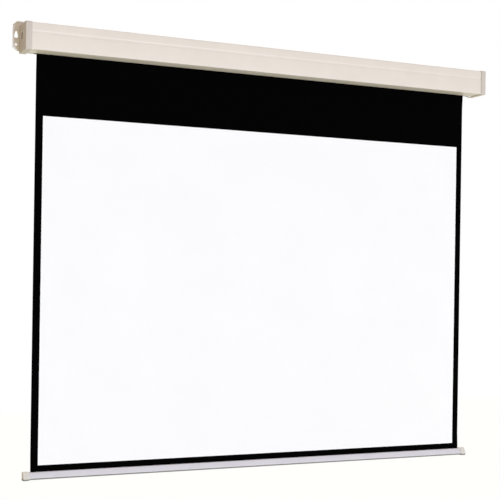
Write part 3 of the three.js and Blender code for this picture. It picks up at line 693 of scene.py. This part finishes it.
class SCREEN_OT_end_caps(Operator):
    """Builds the two moulded caps over the case's ends, with their windows and pegs"""
    bl_idname = "screen_build.end_caps"
    bl_label = "End caps"

    def execute(self, context):
        case = context.scene.projection_screen.case
        case_low, case_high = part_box("case_shell")
        axis = middle("spring_spindle")[1:]
        grow = case.cap_gap + case.cap_wall
        for side, name in ((-1, "left"), (1, "right")):
            low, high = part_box(f"{name}_end_cap")
            inner, outer = (low.x, high.x)[::side]
            built = loft(f"{name}_cap_cover", [
                [(x, *point) for point in case_outline(case, grow - inset, high.y)]
                for x, inset in ((inner, 0), *rounded_end(outer, side, case.cap_rounding))
            ])
            hollow_rear = high.y + OVERRUN + case.rear_radius
            hollow = prism("hollow", [case_outline(case, case.cap_gap, hollow_rear)],
                           (inner - side * OVERRUN, outer - side * case.cap_side))
            window = prism("window", [circle(*axis, case.window_radius)],
                           (outer - side * (case.cap_side + OVERRUN), outer + side * OVERRUN))
            combine(built, "DIFFERENCE", hollow, window)
            span = (side * (case_high.x + case.cap_gap / 2), outer - side * case.cap_side / 2)
            combine(built, "UNION", *[
                prism("peg", [circle(axis[0], z, case.peg_radius, PEG_SIDES)], span)
                for z in (case_high.z - case.peg_inset, case_low.z + case.peg_inset)
            ])
            settle(soften(built, case.cap_side / 8), "case", "grey_plastic", f"{name}_end_cap")
        return {"FINISHED"}


class SCREEN_OT_brackets(Operator):
    """Builds the two stamped wall brackets with softened edges"""
    bl_idname = "screen_build.brackets"
    bl_label = "Wall brackets"

    def execute(self, context):
        carry_over(context.scene.projection_screen.bracket.edge, (
            ("left_bracket", "left_wall_bracket", "bracket_enamel", "case"),
            ("right_bracket", "right_wall_bracket", "bracket_enamel", "case"),
        ))
        return {"FINISHED"}


def seat_screws(add, get):
    """Puts the screw on each seat, turned round on the left side."""
    points = add("GeometryNodeObjectInfo", {"Object": get["Seats"]})
    item = add("GeometryNodeObjectInfo", {"Object": get["Screw"]})
    place = add("ShaderNodeSeparateXYZ", {0: add("GeometryNodeInputPosition")})
    is_left = add("FunctionNodeCompare", {0: place, 1: 0.0}, operation="LESS_THAN")
    turn = maths(add, "MULTIPLY", is_left, get["Turn Left"])
    return add("GeometryNodeInstanceOnPoints", {
        "Points": points.outputs["Geometry"], "Instance": item.outputs["Geometry"],
        "Rotation": add("ShaderNodeCombineXYZ", {2: turn}),
    })


def pan_head_screw(shape, whole):
    """A pan-head screw with a cross recess, along X, with its head's top at the origin."""
    head, shank, height = shape.head_radius, shape.shank_radius, shape.head_height
    crown = height / 3
    profile = [(0, 0)]
    for k in range(ARC_STEPS + 1):
        angle = math.pi / 2 * k / ARC_STEPS
        profile.append((crown * (math.cos(angle) - 1), head / 2 * (1 + math.sin(angle))))
    profile += [(-height, head), (-height, shank)]
    pitch, root = shank / 2, shank * 0.8
    x = -height
    while x > -whole + 3 * pitch:
        profile += [(x - pitch / 2, shank), (x - pitch * 0.75, root), (x - pitch, shank)]
        x -= pitch
    profile += [(-whole + pitch, root), (-whole, 0)]
    built = lathe("screw", profile, (0, 0), SMALL_SIDES)
    reach, half = shape.recess_reach, shape.recess_width / 2
    arms = []
    for y, z in ((reach, half), (half, reach)):
        arms.append(prism("arm", [[(-y, -z), (y, -z), (y, z), (-y, z)]], (-shape.recess_depth, OVERRUN)))
    combine(built, "DIFFERENCE", *arms).data.set_sharp_from_angle(angle=SHARP_EDGE)
    return built


class SCREEN_OT_screws(Operator):
    """Builds the pan-head screws that hold the brackets, set on their seats by a geometry tree"""
    bl_idname = "screen_build.screws"
    bl_label = "Bracket screws"

    def execute(self, context):
        shape = context.scene.projection_screen.bracket
        names = [f"{side}_bracket_screw_{i}" for side in ("left", "right") for i in (1, 2, 3)]
        low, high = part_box(names[0])
        screw = pan_head_screw(shape, high.x - low.x)
        places = [(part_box(name)[name.startswith("right")].x, *middle(name)[1:]) for name in names]
        mesh = bpy.data.meshes.new("screw_seats")
        mesh.from_pydata(places, [], [])
        seats = placed("screw_seats", mesh)
        built = grown("bracket_screws", {"Seats": seats, "Screw": screw, "Turn Left": math.pi}, seat_screws,
                      "zinc_steel")
        for helper in (screw, seats):
            bpy.data.meshes.remove(helper.data)
        settle(built, "case", "zinc_steel", *names)
        return {"FINISHED"}


def hang(add, get):
    """Shapes a hanging sheet: waves run down it, and its side edges curl back."""
    work = partial(maths, add)
    grid = add("GeometryNodeMeshGrid", {
        "Size X": 2.0, "Size Y": 1.0, "Vertices X": get["Across"], "Vertices Y": get["Down"],
    })
    at = add("ShaderNodeSeparateXYZ", {0: add("GeometryNodeInputPosition")}).outputs
    # Columns stand closer together towards the side edges, where the cloth curls
    share = work("SINE", work("MULTIPLY", at[0], math.pi / 2))
    x = work("MULTIPLY", share, work("DIVIDE", get["Width"], 2.0))
    z = work("ADD", work("MULTIPLY", work("SUBTRACT", at[1], 0.5), get["Drop"]), get["Top"])
    # From nothing at the slot and at the bar to its full depth a flat end away
    nearest = work("MINIMUM", work("SUBTRACT", get["Slot"], z), work("SUBTRACT", z, get["Bar"]))
    free = add("ShaderNodeMapRange", {"Value": nearest, "From Max": get["Flat End"]},
               interpolation_type="SMOOTHSTEP")
    # The curl grows with the square of the distance into the curled strip
    into = add("ShaderNodeMapRange", {
        "Value": work("ABSOLUTE", x), "From Min": work("SUBTRACT", get["Cloth Half"], get["Curl Width"]),
        "From Max": get["Cloth Half"],
    })
    curl = work("MULTIPLY", work("POWER", into, 2.0), get["Curl Depth"])
    # The waves only go back, away from the roll, which the cloth lies against when it is wound up
    wave = work("COSINE", work("MULTIPLY", work("DIVIDE", x, get["Wave"]), math.tau))
    ripple = work("MULTIPLY", work("ADD", wave, 1.0), get["Ripple"])
    y = work("ADD", work("MULTIPLY", work("ADD", curl, ripple), free), get["Plane"])
    size = add("ShaderNodeCombineXYZ", {0: get["Width"], 1: get["Drop"]})
    spread = add("ShaderNodeVectorMath", {0: grid.outputs["UV Map"], 1: size}, operation="MULTIPLY")
    mapped = add("GeometryNodeStoreNamedAttribute", {
        "Geometry": grid, "Name": "UVMap", "Value": spread,
    }, data_type="FLOAT2", domain="CORNER")
    return add("GeometryNodeSetPosition", {
        "Geometry": mapped, "Position": add("ShaderNodeCombineXYZ", {0: x, 1: y, 2: z}),
    })


def hanging_sheet(name, node, shape, thickness, slot):
    """A sheet that hangs in the case's slot.

    The waves and the curl are measured on the whole cloth, so that a face on it follows the same shape.
    """
    low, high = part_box(node)
    cloth_low, cloth_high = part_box("screen_cloth")
    sheet = grown(name, {
        "Width": high.x - low.x, "Drop": high.z - low.z, "Top": high.z, "Plane": middle(node)[1],
        "Across": shape.across, "Down": shape.down, "Cloth Half": cloth_high.x,
        "Slot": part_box("case_shell")[0].z, "Bar": cloth_low.z, "Flat End": shape.flat_end,
        "Curl Depth": shape.curl_depth, "Curl Width": shape.curl_width, "Ripple": shape.ripple,
        "Wave": shape.wave,
    }, hang, slot)
    settle(thickened(sheet, thickness), "case", slot, node)
    return sheet


class SCREEN_OT_cloth(Operator):
    """Builds the hanging cloth and the white picture face on it, both shaped by a geometry tree"""
    bl_idname = "screen_build.cloth"
    bl_label = "Cloth and picture"

    def execute(self, context):
        shape = context.scene.projection_screen.cloth
        cloth = hanging_sheet("hanging_cloth", "screen_cloth", shape, shape.thickness, "black_cloth")
        face = hanging_sheet("white_picture", "picture_face", shape, shape.face_thickness, "white_face")
        for sheet in (cloth, face):
            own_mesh(sheet)
        return {"FINISHED"}


def swept_spiral(add, get, steps, profile, normal, turn):
    """Sweeps a profile along a spiral, and turns it to lie along X."""
    spiral = add("GeometryNodeCurveSpiral", {
        label: get[label] for label in ("Rotations", "Start Radius", "End Radius", "Height")
    } | {"Resolution": steps})
    swept = add("GeometryNodeCurveToMesh", {
        "Curve": add("GeometryNodeSetCurveNormal", {0: spiral}, mode=normal), "Profile Curve": profile,
        "Fill Caps": True,
    })
    return add("GeometryNodeTransform", {"Geometry": swept, "Rotation": turn, "Translation": get["Centre"]})


def wound_strip(add, get):
    """Winds a strip as wide as a line."""
    width = add("GeometryNodeCurvePrimitiveLine", {"Start": get["Start"], "End": get["End"]})
    return swept_spiral(add, get, ROUND_SIDES, width, "Z_UP", (math.pi / 2, 0, math.pi / 2))


def wind_cloth(shape, axis, radius):
    """Makes the turns left on the roller, a spiral that ends where the hanging cloth begins."""
    low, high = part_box("cloth_turns")
    half = (high.x - low.x) / 2
    built = grown("wound_cloth", {
        "Start Radius": radius + shape.thickness, "End Radius": middle("screen_cloth")[1] - axis[0],
        "Height": 0.0, "Rotations": shape.turns, "Start": (0, -half, 0), "End": (0, half, 0),
        "Centre": (0, *axis),
    }, wound_strip, "black_cloth")
    settle(thickened(built, shape.thickness), "roller", "black_cloth", "cloth_turns")


class SCREEN_OT_roller(Operator):
    """Builds the roller: its tube, the cloth wound on it, its end plugs, pivot and bush"""
    bl_idname = "screen_build.roller"
    bl_label = "Roller"

    def execute(self, context):
        settings = context.scene.projection_screen
        shape = settings.roller
        low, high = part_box("roller_tube")
        axis = middle("roller_tube")[1:]
        radius = (high.z - low.z) / 2
        bore = radius - shape.tube_wall
        tube = lathe("drawn_tube", [(low.x, bore), (low.x, radius), (high.x, radius), (high.x, bore)], axis)
        settle(soften(tube, shape.edge), "roller", "plain_aluminium", "roller_tube")
        wind_cloth(settings.cloth, axis, radius)
        low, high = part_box("pivot_pin")
        pin = (high.z - low.z) / 2
        pivot = lathe("steel_pivot", [(low.x, 0), (low.x, pin), (high.x, pin), (high.x, 0)], axis)
        settle(soften(pivot, 2 * shape.edge), "roller", "zinc_steel", "pivot_pin")
        carry_over(shape.edge, (
            ("pivot_bush", "nylon_bush", "black_nylon", "case"),
            ("ratchet_plug", "spring_end_plug", "black_nylon", "roller"),
            ("idler_plug", "pivot_end_plug", "black_nylon", "roller"),
            ("ratchet_cover", "ratchet_cover_disc", "zinc_steel", "roller"),
        ))
        return {"FINISHED"}


class SCREEN_OT_ratchet(Operator):
    """Builds the ratchet: its wheel, pawls and pins"""
    bl_idname = "screen_build.ratchet"
    bl_label = "Ratchet"

    def execute(self, context):
        carry_over(context.scene.projection_screen.roller.edge / 2, (
            ("ratchet_wheel", "notched_wheel", "zinc_steel", "case"),
            ("pawl_a", "upper_catch", "zinc_steel", "upper_pawl"),
            ("pawl_b", "lower_catch", "zinc_steel", "lower_pawl"),
            ("pawl_pin_a", "upper_catch_pin", "zinc_steel", "roller"),
            ("pawl_pin_b", "lower_catch_pin", "zinc_steel", "roller"),
        ))
        return {"FINISHED"}


def coiled_wire(add, get):
    """Coils a round wire."""
    ring = add("GeometryNodeCurvePrimitiveCircle", {"Resolution": WIRE_SIDES, "Radius": get["Wire Radius"]})
    return swept_spiral(add, get, COIL_STEPS, ring, "MINIMUM_TWIST", (0, math.pi / 2, 0))


class SCREEN_OT_spring(Operator):
    """Builds the spring drive: the fixed spindle, the coiled spring, its anchor and the guide"""
    bl_idname = "screen_build.spring"
    bl_label = "Spring drive"

    def execute(self, context):
        shape = context.scene.projection_screen.roller
        carry_over(shape.edge, (
            ("spring_spindle", "fixed_spindle", "zinc_steel", "case"),
            ("spring_anchor", "anchor_collar", "zinc_steel", "case"),
            ("spindle_guide", "guide_disc", "black_nylon", "case"),
        ))
        low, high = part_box("torsion_spring")
        wire = shape.wire
        run, radius = high.x - low.x - wire, (high.z - low.z - wire) / 2
        built = grown("coiled_spring", {
            "Start Radius": radius, "End Radius": radius, "Wire Radius": wire / 2,
            "Rotations": run / (wire + shape.coil_gap), "Height": run,
            "Centre": (low.x + wire / 2, *middle("torsion_spring")[1:]),
        }, coiled_wire, "spring_steel")
        settle(built, "case", "spring_steel", "torsion_spring")
        return {"FINISHED"}


def bar_back(bar):
    """The plane of the bar's back."""
    return middle("screen_cloth")[1] + bar.back_to_cloth


def bar_front(bar, z, grow):
    """The bar's front at a height, leaning forward towards the bottom, grown by a distance."""
    low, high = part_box("bottom_bar")
    lean = (bar.low_depth - bar.top_depth) / (high.z - low.z)
    return bar_back(bar) - bar.top_depth - (high.z - z) * lean - grow * math.hypot(1, lean)


def bar_notch(bar, grow):
    """The notch under the bar's front, for an outline grown by a distance: its ceiling and its rear wall."""
    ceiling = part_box("bottom_bar")[0].z + bar.notch_rise
    return ceiling - grow, bar_front(bar, ceiling, 0) + bar.notch_depth - grow


def bar_outline(bar, grow, foot):
    """The bar's outline in YZ, grown by a distance, with a foot below."""
    bar_low, bar_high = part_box("bottom_bar")
    back, top, low = bar_back(bar) + grow, bar_high.z + grow, bar_low.z - grow - foot
    ceiling, notch_rear = bar_notch(bar, grow)
    edge = bar.edge_radius
    return outline([
        (back, top, bar.top_radius), (bar_front(bar, top, grow), top, bar.top_radius),
        (bar_front(bar, ceiling, grow), ceiling, edge), (notch_rear, ceiling, edge / 2),
        (notch_rear, low, edge), (back, low, bar.back_radius),
    ])


class SCREEN_OT_bottom_bar(Operator):
    """Builds the bottom bar with its hem channel, the hem and the rod in it"""
    bl_idname = "screen_build.bottom_bar"
    bl_label = "Bottom bar"

    def execute(self, context):
        bar = context.scene.projection_screen.bar
        low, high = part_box("bottom_bar")
        cloth_y = middle("hem_rod")[1]
        hem_z = high.z - bar.hem_depth
        wall, edge = bar.wall, bar.edge_radius / 2
        inner_back, inner_low, hollow_top = bar_back(bar) - wall, low.z + wall, high.z - bar.hollow_drop
        step, step_rear = bar_notch(bar, -wall)
        hollow = outline([
            (inner_back, hollow_top, bar.top_radius),
            (bar_front(bar, hollow_top, -wall), hollow_top, bar.top_radius),
            (bar_front(bar, step, -wall), step, edge), (step_rear, step, edge),
            (step_rear, inner_low, edge), (inner_back, inner_low, bar.top_radius),
        ])
        built = prism("weight_bar", [bar_outline(bar, 0.0, 0.0), hollow], (low.x, high.x))
        cut = (low.x - OVERRUN, high.x + OVERRUN)
        channel = prism("channel", [circle(cloth_y, hem_z, bar.channel_radius, CHANNEL_SIDES)], cut)
        near, far, mouth = cloth_y - bar.neck / 2, cloth_y + bar.neck / 2, high.z + OVERRUN
        neck = [(near, hem_z), (far, hem_z), (far, mouth), (near, mouth)]
        combine(built, "DIFFERENCE", channel, prism("neck", [neck], cut))
        settle(soften(built, wall / 8), "bar", "white_enamel", "bottom_bar")
        carry_over(wall / 16, (
            ("cloth_hem", "sewn_hem", "black_cloth", "bar"),
            ("hem_rod", "steel_hem_rod", "zinc_steel", "bar"),
        ))
        return {"FINISHED"}


class SCREEN_OT_bar_caps(Operator):
    """Builds the moulded caps on the bar's ends, whose feet reach lower than the bar"""
    bl_idname = "screen_build.bar_caps"
    bl_label = "Bar caps"

    def execute(self, context):
        bar = context.scene.projection_screen.bar
        grow = bar.cap_gap + bar.cap_wall
        for side, name in ((-1, "left"), (1, "right")):
            low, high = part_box(f"{name}_bar_cap")
            inner, outer = (low.x, high.x)[::side]
            stations = [(inner, grow, 0.0)]
            for k in range(1, ARC_STEPS + 1):
                share = k / ARC_STEPS
                ease = share * share * (3 - 2 * share)
                stations.append((inner + side * bar.cap_taper * share, grow, bar.cap_foot * ease))
            for x, inset in rounded_end(outer, side, bar.cap_rounding):
                stations.append((x, grow - inset, bar.cap_foot))
            rings = [[(x, *point) for point in bar_outline(bar, out, foot)] for x, out, foot in stations]
            built = loft(f"{name}_weight_bar_cap", rings)
            hollow = prism("hollow", [bar_outline(bar, bar.cap_gap, 0.0)],
                           (inner - side * OVERRUN, outer - side * bar.cap_end))
            combine(built, "DIFFERENCE", hollow)
            settle(soften(built, bar.cap_wall / 6), "bar", "warm_plastic", f"{name}_bar_cap")
        return {"FINISHED"}


# Stage

def seen_or_reflected(add):
    """Is 1 where the camera looks straight at the surface, or sees it in metal or through glass."""
    path = add("ShaderNodeLightPath").outputs
    first = maths(add, "MAXIMUM", path["Is Camera Ray"], path["Is Glossy Ray"])
    return maths(add, "MAXIMUM", first, path["Is Transmission Ray"])


def level_camera(stage):
    """Stands the camera level, turned to the right and leaned a little."""
    camera = placed("camera", set_up(bpy.data.cameras.new("camera"), lens=stage.focal_length,
                                     sensor_width=SENSOR_WIDTH, shift_y=stage.shift_up))
    level = Matrix.Rotation(-stage.camera_yaw, 4, "Z") @ Matrix.Rotation(math.pi / 2, 4, "X")
    lean = Matrix.Rotation(stage.camera_roll, 4, "Z")
    camera.matrix_world = Matrix.Translation(stage.camera_place) @ level @ lean
    return camera


def distant_lamp(name, power, colour, towards, breadth):
    """A distant lamp that shines from a direction, as broad in the sky as an angle."""
    sun = set_up(bpy.data.lights.new(name, "SUN"), energy=power, color=colour[:3], angle=breadth)
    placed(name, sun).rotation_euler = Vector(towards).to_track_quat("Z", "Y").to_euler()


def white_surround(colours):
    """Light from all sides, which the camera and reflections see as white."""
    world = bpy.data.worlds.new("surround")
    world.use_nodes = True
    world.node_tree.nodes.clear()
    add = partial(add_node, world.node_tree)
    light = add("ShaderNodeBackground", {"Color": colours.surround, "Strength": 1.0})
    white = add("ShaderNodeBackground", {"Color": WHITE, "Strength": 1.0})
    mix = add("ShaderNodeMixShader", {0: seen_or_reflected(add), 1: light, 2: white})
    add("ShaderNodeOutputWorld", {"Surface": mix})
    return world


def pale_floor(stage, colours):
    """A pale floor, which looks nearly white and keeps a soft shadow."""
    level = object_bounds()[0][2] - stage.floor_drop
    made = bmesh.new()
    bmesh.ops.create_grid(made, size=stage.floor_size / 2, matrix=Matrix.Translation((0, 0, level)))
    floor = new_object("floor", made)
    material, add, place = new_material("pale_floor")
    matt = add("ShaderNodeBsdfDiffuse", {"Color": mottled(add, place, colours.floor, 0.98, 0.4)})
    glow = add("ShaderNodeEmission", {"Color": WHITE, "Strength": FLOOR_GLOW})
    bright = add("ShaderNodeMixShader", {0: FLOOR_MATT_SHARE, 1: glow, 2: matt})
    mix = add("ShaderNodeMixShader", {0: seen_or_reflected(add), 1: matt, 2: bright})
    floor.data.materials.append(close_material(material, mix))
    # The key lamp stands a little below the case, and the floor doesn't hide it
    floor.visible_shadow = False
    floor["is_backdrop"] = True


class SCREEN_OT_stage(Operator):
    """Sets the camera, the soft lamps, the pale floor and the white surround"""
    bl_idname = "screen_build.stage"
    bl_label = "Stage"

    def execute(self, context):
        settings = context.scene.projection_screen
        stage, colours = settings.stage, settings.colours
        context.scene.view_settings.view_transform = "Standard"
        context.scene.camera = level_camera(stage)
        distant_lamp("key_lamp", stage.key_power, colours.key, KEY_FROM, KEY_BREADTH)
        distant_lamp("back_lamp", stage.back_power, WHITE, BACK_FROM, BACK_BREADTH)
        context.scene.world = white_surround(colours)
        pale_floor(stage, colours)
        return {"FINISHED"}


class SCREEN_PT_build(Panel):
    """Lists the sizes and colours of the screen, and a button for each group of pieces"""
    bl_idname = "SCREEN_PT_build"
    bl_label = "Projection Screen"
    bl_space_type = "VIEW_3D"
    bl_region_type = "UI"
    bl_category = "Screen"

    def draw(self, context):
        settings = context.scene.projection_screen
        for group in ScreenSettings.__annotations__:
            box = self.layout.box()
            box.label(text=settings.bl_rna.properties[group].name)
            values = getattr(settings, group)
            for name in values.__annotations__:
                box.prop(values, name)
        for operator in OPERATORS:
            self.layout.operator(operator.bl_idname)


GROUPS = (
    CaseShape, BracketShape, ClothShape, RollerShape, BarShape, FinishColours, StageSettings,
    ScreenSettings,
)
OPERATORS = (
    SCREEN_OT_stage, SCREEN_OT_case, SCREEN_OT_end_caps, SCREEN_OT_brackets, SCREEN_OT_screws,
    SCREEN_OT_cloth, SCREEN_OT_roller, SCREEN_OT_ratchet, SCREEN_OT_spring, SCREEN_OT_bottom_bar,
    SCREEN_OT_bar_caps,
)


def register():
    """Registers the settings, the operators and the panel."""
    for item in (*GROUPS, *OPERATORS, SCREEN_PT_build):
        bpy.utils.register_class(item)
    bpy.types.Scene.projection_screen = PointerProperty(type=ScreenSettings)


def unregister():
    """Removes what register added."""
    del bpy.types.Scene.projection_screen
    for item in reversed((*GROUPS, *OPERATORS, SCREEN_PT_build)):
        bpy.utils.unregister_class(item)


def main():
    """Builds the whole screen."""
    register()
    settings = bpy.context.scene.projection_screen
    finishes.update(make_finishes(settings.colours, settings.bar))
    for operator in OPERATORS:
        group, name = operator.bl_idname.split(".")
        getattr(getattr(bpy.ops, group), name)()


if __name__ == "__main__":
    main()
